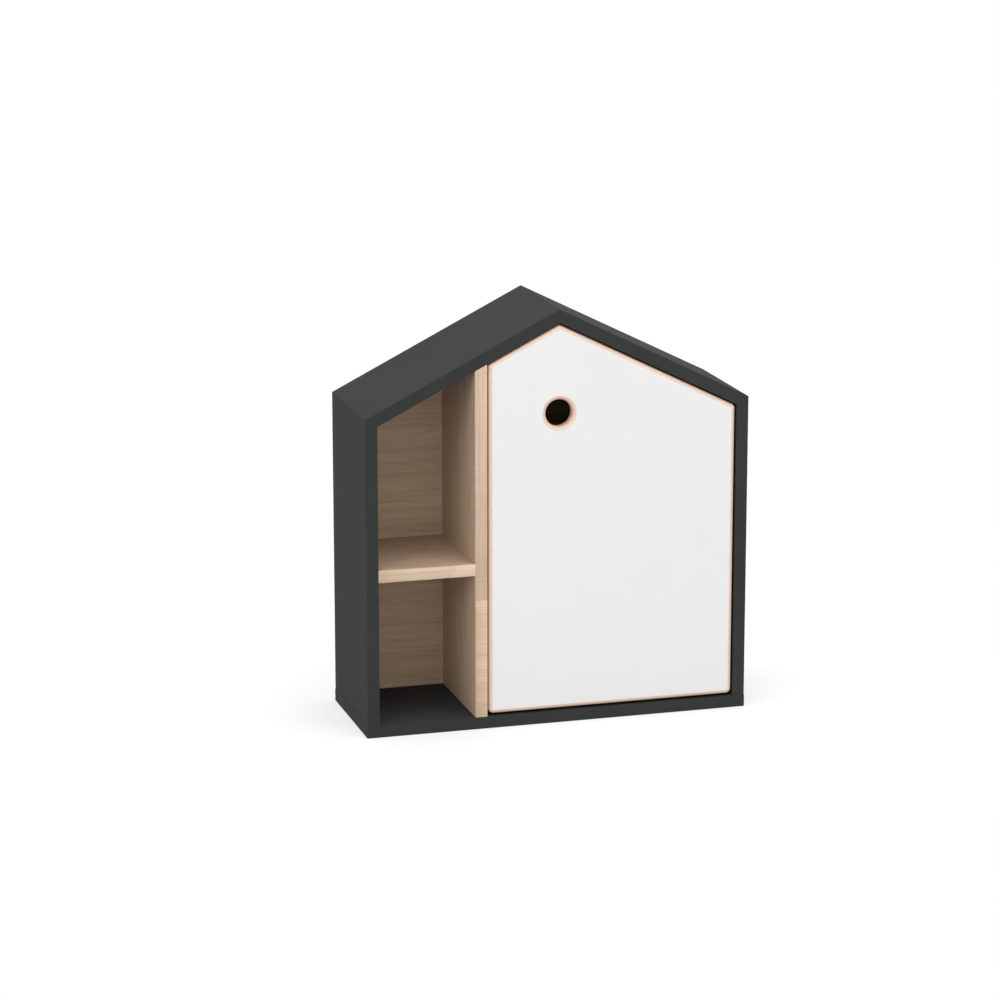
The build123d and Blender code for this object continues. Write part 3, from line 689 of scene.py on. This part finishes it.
# The thread's core and the blunt tip as shares of the shank, and the point in shank radii
THREAD_CORE = 0.68
BLUNT_TIP = 0.04
POINT_LENGTH = 2.4
# How fast a ridge falls to the core: above 2, the core shows between the ridges
RIDGE_FALL = 2.6
SCREW_SIZES = (
    "Shank Radius",
    "Head Radius",
    "Head Height",
    "Head Slope",
    "Length",
    "Neck",
    "Pitch",
    "Drive Width",
    "Drive Depth",
)


def screw_tree():
    """A cross-drive screw: head, smooth neck, helical thread, point."""
    s = Shape("cross_drive_screw", {**dict.fromkeys(SCREW_SIZES, float), "Rows": int})
    blank, down, angle = s.blank(SCREW_SIDES, s.given["Rows"])
    along = s.math("MULTIPLY", down, s.given["Length"])
    shank = s.given["Shank Radius"]
    phase = s.math(
        "FRACT",
        s.math(
            "SUBTRACT",
            s.math("DIVIDE", along, s.given["Pitch"]),
            s.math("MULTIPLY", angle, 0.5 / math.pi),
        ),
    )
    from_crest = s.math("ABSOLUTE", s.math("SUBTRACT", phase, 0.5))
    slack = s.math("MULTIPLY", from_crest, RIDGE_FALL)
    ridge = s.math("SUBTRACT", 1.0, slack, clamp=True)
    smooth = s.math("LESS_THAN", along, s.given["Neck"])
    full = s.math("MAXIMUM", smooth, ridge)
    cover = s.math("MULTIPLY", full, 1 - THREAD_CORE)
    body = s.math("MULTIPLY", shank, s.math("ADD", THREAD_CORE, cover))
    left = s.math("SUBTRACT", s.given["Length"], along)
    point = s.math("DIVIDE", left, s.math("MULTIPLY", shank, POINT_LENGTH), clamp=True)
    point = s.math("MAXIMUM", point, BLUNT_TIP)
    cone = s.math("MAXIMUM", s.math("SUBTRACT", along, s.given["Head Height"]), 0.0)
    cone = s.math("MULTIPLY", cone, s.given["Head Slope"])
    head = s.math("SUBTRACT", s.given["Head Radius"], cone)
    radius = s.math("MAXIMUM", head, s.math("MULTIPLY", body, point))
    screw = s.turned(blank, radius, angle, s.math("MULTIPLY", along, -1.0))

    cut = s.add("GeometryNodeMeshBoolean", operation="DIFFERENCE", solver="EXACT")
    s.link(screw, cut.inputs["Mesh 1"])
    reach = s.given["Head Radius"]
    width = s.given["Drive Width"]
    edge_shade = s.math("MULTIPLY", s.given["Drive Depth"], 2.0)
    for across, aside in ((reach, width), (width, reach)):
        size = s.add("CombineXYZ", {"X": across, "Y": aside, "Z": edge_shade})
        bit = s.add("GeometryNodeMeshCube", {"Size": size.outputs[0]})
        s.link(bit.outputs["Mesh"], cut.inputs["Mesh 2"])
    return s.set_at_points(cut.outputs["Mesh"])


FLUTES = 16
FLUTE_SHARE = 0.035
SIDES_PER_FLUTE = 3
DOWEL_ROWS = 3
# Rows further than this from the middle, as a share of half the length, are the ends
END_ROWS = 0.6


def dowel_tree():
    """A fluted dowel with chamfered ends, centred on its point."""
    s = Shape("fluted_dowel", {"Radius": float, "Length": float, "Chamfer": float})
    blank, down, angle = s.blank(FLUTES * SIDES_PER_FLUTE, DOWEL_ROWS)
    end = s.math("MULTIPLY", s.math("ABSOLUTE", s.math("SUBTRACT", down, 0.5)), 2.0)
    tip = s.math("GREATER_THAN", end, END_ROWS)
    half = s.math("MULTIPLY", s.given["Length"], 0.5)
    shoulder = s.math("SUBTRACT", half, s.given["Chamfer"])
    reach = s.math("ADD", shoulder, s.math("MULTIPLY", tip, s.given["Chamfer"]))
    side = s.math("SIGN", s.math("SUBTRACT", 0.5, down))
    flute = s.math("COSINE", s.math("MULTIPLY", angle, FLUTES))
    fluted = s.math("ADD", 1 - FLUTE_SHARE, s.math("MULTIPLY", flute, FLUTE_SHARE))
    radius = s.math("MULTIPLY", s.given["Radius"], fluted)
    radius = s.math("SUBTRACT", radius, s.math("MULTIPLY", tip, s.given["Chamfer"]))
    dowel = s.turned(blank, radius, angle, s.math("MULTIPLY", reach, side))
    return s.set_at_points(dowel)


def shaped(name, tree, places, **sizes):
    """A plain mesh of the tree's shape at places, which are pairs of a point and a facing."""
    mesh = bpy.data.meshes.new(name)
    mesh.from_pydata([point for point, facing in places], [], [])
    facings = mesh.attributes.new("facing", "FLOAT_VECTOR", "POINT")
    for i, (point, facing) in enumerate(places):
        facings.data[i].vector = facing
    piece = bpy.data.objects.new(name, mesh)
    bpy.context.scene.collection.objects.link(piece)
    modifier = piece.modifiers.new("shape", "NODES")
    modifier.node_group = tree
    for socket in tree.interface.items_tree:
        key = socket.name.lower().replace(" ", "_")
        if key in sizes:
            modifier[socket.identifier] = sizes[key]
    applied(piece)
    for polygon in piece.data.polygons:
        polygon.use_smooth = True
    piece.data.set_sharp_from_angle(angle=SHARP_ANGLE)
    return piece


def screw_places(node, facing):
    """The heads of a node's screws, which all face the same way."""
    places = []
    for low, high in solid_boxes(node):
        head = (low + high) / 2
        for axis in range(3):
            if facing[axis]:
                head[axis] = high[axis] if facing[axis] > 0 else low[axis]
        places.append((head, facing))
    return places


TO_LEFT = (-1, 0, 0)
TO_RIGHT = (1, 0, 0)
TO_REAR = (0, 1, 0)
DOWNWARDS = (0, 0, -1)
DRIVE_WIDTH = 0.9 * MM
DRIVE_DEPTH = 1.1 * MM
# Facing, then in millimetres: shank radius, head radius, length, neck, pitch, row height
SCREWS = {
    "base_screws": (DOWNWARDS, 3.25, 5.0, 50.0, 12.0, 4.0, 0.5),
    "plate_screws": (TO_LEFT, 1.9, 3.4, 15.0, 2.5, 1.6, 0.25),
    "stop_screws": (TO_RIGHT, 2.0, 4.0, 34.0, 12.0, 1.8, 0.25),
    "cup_screws": (TO_REAR, 1.7, 3.3, 13.0, 2.5, 1.5, 0.25),
    "strike_screws": (TO_REAR, 1.5, 2.6, 12.0, 2.0, 1.4, 0.25),
    "hanger_screws": (TO_REAR, 1.7, 3.3, 12.0, 2.5, 1.5, 0.25),
    "arm_screws": (TO_LEFT, 2.0, 3.2, 13.0, 3.0, 0.8, 0.125),
}
# Pan heads keep their radius over this height. The others taper from the top at 45 degrees
PAN_HEIGHTS = {"arm_screws": 2.0 * MM}
UNDER_PAN_SLOPE = 20.0
COUNTERSUNK_SLOPE = 1.0
screw = screw_tree()
for node, (facing, shank, head, length, neck, pitch, row) in SCREWS.items():
    piece = shaped(
        f"{node}_threaded",
        screw,
        screw_places(node, facing),
        shank_radius=shank * MM,
        head_radius=head * MM,
        head_height=PAN_HEIGHTS.get(node, 0.0),
        head_slope=UNDER_PAN_SLOPE if node in PAN_HEIGHTS else COUNTERSUNK_SLOPE,
        length=length * MM,
        neck=neck * MM,
        pitch=pitch * MM,
        drive_width=DRIVE_WIDTH,
        drive_depth=DRIVE_DEPTH,
        rows=round(length / row),
        finish=zinc_steel,
    )
    settle(piece, frame["nodes"][node]["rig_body"], "screw_steel", node)


# Directions of the dowels at their middles


def along_x(middle):
    return TO_RIGHT


def across_slope(middle):
    return (math.copysign(math.sin(SLOPE), middle.x), 0, math.cos(SLOPE))


def across_mitre(middle):
    return (-math.copysign(EAVE - INNER_EAVE, middle.x), 0, OUTER - INNER)


# Radius and length
MITRE_DOWEL = (3.0 * MM, 20.0 * MM)
LONG_DOWEL = (4.0 * MM, 30.0 * MM)
DOWEL_CHAMFER = 0.8 * MM
DOWELS = {
    "ridge_dowels": (along_x, MITRE_DOWEL),
    "eave_dowels": (across_mitre, MITRE_DOWEL),
    "back_side_dowels": (along_x, LONG_DOWEL),
    "back_roof_dowels": (across_slope, MITRE_DOWEL),
    "shelf_dowels": (along_x, LONG_DOWEL),
    "divider_dowels": (across_slope, MITRE_DOWEL),
}
dowel = dowel_tree()
for node, (direction, (radius, length)) in DOWELS.items():
    middles = [(low + high) / 2 for low, high in solid_boxes(node)]
    piece = shaped(
        f"{node}_fluted",
        dowel,
        [(middle, direction(middle)) for middle in middles],
        radius=radius,
        length=length,
        chamfer=DOWEL_CHAMFER,
        finish=beech,
    )
    settle(piece, "cabinet", "beech_dowel", node)

# Stage: a white floor that keeps the shadow, a white surround and soft lamps
FLOOR_HALF = 14.0
# The paper as it lights the object, then as it is seen: darker, with some light of its own
PAPER = (0.55, 0.55, 0.55)
PAPER_SEEN = (0.42, 0.42, 0.42)
PAPER_LIFT = 0.56
# Distances from the origin between which the shadow fades to plain white
SHADOW_KEPT = 0.45
SHADOW_GONE = 0.95
floor_mesh = bpy.data.meshes.new("studio_floor")
floor_mesh.from_pydata(
    [
        (-FLOOR_HALF, -FLOOR_HALF, 0),
        (FLOOR_HALF, -FLOOR_HALF, 0),
        (FLOOR_HALF, FLOOR_HALF, 0),
        (-FLOOR_HALF, FLOOR_HALF, 0),
    ],
    [],
    [(0, 1, 2, 3)],
)


def floor_material():
    """White paper that keeps the shadow near the object and is seen as plain white further out."""
    n = Nodes("white_paper_floor")
    rays = n.add("LightPath").outputs
    seen = n.math("MAXIMUM", rays["Is Camera Ray"], rays["Is Glossy Ray"])
    seen = n.math("MAXIMUM", seen, rays["Is Transmission Ray"])
    place = n.add("TexCoord").outputs["Object"]
    distance = n.add("VectorMath", {"Vector": place}, operation="LENGTH").outputs["Value"]
    away = n.add(
        "MapRange",
        {"Value": distance, "From Min": SHADOW_KEPT, "From Max": SHADOW_GONE},
        interpolation_type="SMOOTHSTEP",
    )
    hidden = n.math("MULTIPLY", seen, away.outputs["Result"])
    paper = n.add("BsdfDiffuse", {"Color": n.mix(seen, PAPER, PAPER_SEEN)})
    lift = n.add("Emission", {"Strength": n.math("MULTIPLY", seen, PAPER_LIFT)})
    near = n.add("AddShader", {0: paper.outputs[0], 1: lift.outputs[0]})
    far = n.add("Emission", {"Strength": 1.0})
    both = n.add("MixShader", {"Fac": hidden, 1: near.outputs[0], 2: far.outputs[0]})
    n.link(both.outputs[0], n.output.inputs["Surface"])
    return n.material


floor = new_piece("studio_floor", floor_mesh, floor_material())

SURROUND = 0.96
SURROUND_FROM_LEFT = 0.072
SURROUND_FROM_ABOVE = 0.032


def white_surround():
    """A white studio, a little brighter on the left and above. The camera sees plain white."""
    world = bpy.data.worlds.new("white_surround")
    world.use_nodes = True
    n = Tree(world.node_tree)
    n.tree.nodes.clear()
    slant = n.add(
        "VectorMath",
        {
            0: n.add("TexCoord").outputs["Generated"],
            1: (-SURROUND_FROM_LEFT, 0.0, SURROUND_FROM_ABOVE),
        },
        operation="DOT_PRODUCT",
    )
    level = n.math("ADD", slant.outputs["Value"], SURROUND)
    rays = n.add("LightPath").outputs
    shown = n.math("MAXIMUM", rays["Is Camera Ray"], rays["Is Transmission Ray"])
    strength = n.add("Mix", {"Factor": shown, "A": level, "B": 1.0}).outputs["Result"]
    background = n.add("Background", {"Color": (1, 1, 1, 1), "Strength": strength})
    n.add("OutputWorld", {"Surface": background.outputs["Background"]})
    bpy.context.scene.world = world


white_surround()


def soft_lamp(name, place, watts):
    """A square softbox that faces the middle of the object."""
    light = bpy.data.lights.new(name, "AREA")
    light.shape = "SQUARE"
    light.size = SOFTBOX_WIDTH
    light.energy = watts
    lamp = bpy.data.objects.new(name, light)
    lamp.location = place
    aim = Vector(OBJECT_MIDDLE) - Vector(place)
    lamp.rotation_euler = aim.to_track_quat("-Z", "Y").to_euler()
    bpy.context.scene.collection.objects.link(lamp)


OBJECT_MIDDLE = (0, 0, 0.3)
SOFTBOX_WIDTH = 2.0
CEILING_PLACE = (0.3, -1.2, 3.9)
CEILING_WATTS = 45
LEFT_PLACE = (-2.9, -2.3, 2.2)
LEFT_WATTS = 19
soft_lamp("ceiling_softbox", CEILING_PLACE, CEILING_WATTS)
soft_lamp("left_softbox", LEFT_PLACE, LEFT_WATTS)

# Camera, at the place and with the lens that the photograph's corners give
LENS = 130.08
SENSOR = 36.0
CAMERA_PLACE = (-1.50119, -4.97925, 1.59796)
CAMERA_YAW = -0.2817
CAMERA_PITCH = -0.2420
CAMERA_ROLL = 0.0005
CAMERA_REACH = 100.0
camera_data = bpy.data.cameras.new("photo_camera")
camera_data.lens = LENS
camera_data.sensor_width = SENSOR
camera_data.sensor_fit = "HORIZONTAL"
camera_data.clip_end = CAMERA_REACH
camera = bpy.data.objects.new("photo_camera", camera_data)
camera.location = CAMERA_PLACE
camera.rotation_mode = "XYZ"
camera.rotation_euler = (QUARTER + CAMERA_PITCH, CAMERA_ROLL, CAMERA_YAW)
bpy.context.scene.collection.objects.link(camera)
bpy.context.scene.camera = camera
bpy.context.scene.view_settings.view_transform = "Standard"
